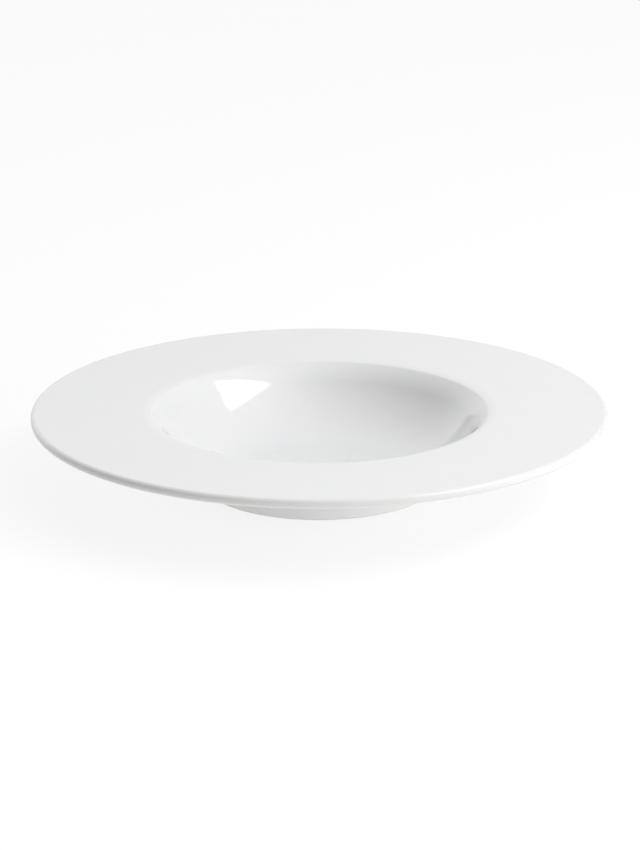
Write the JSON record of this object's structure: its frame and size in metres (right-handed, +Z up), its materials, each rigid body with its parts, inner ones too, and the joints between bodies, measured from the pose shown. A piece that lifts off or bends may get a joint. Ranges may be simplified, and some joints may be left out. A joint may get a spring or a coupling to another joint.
{
  "type": "rimmed soup plate",
  "caption": "Round porcelain soup plate with a wide, almost flat rim, a deep bowl-shaped well for soup or pasta, and an unglazed foot ring to stand on.",
  "frame": {"origin": "middle of the foot ring, on the plane of the tread that the plate stands on", "axes": "+Z up along the axis that the plate is turned about; X and Y are equal, and +X is to the right in the pictured view, which looks along +Y"},
  "size_m": [0.28, 0.28, 0.0388],
  "materials": {
    "bare_porcelain": "matte",
    "white_glaze": "gloss",
    "recess_glaze": "gloss"
  },
  "bodies": {
    "root": {"porcelain_body": "bare_porcelain", "face_glaze": "white_glaze", "foot_recess_glaze": "recess_glaze"}
  },
  "joints": []
}
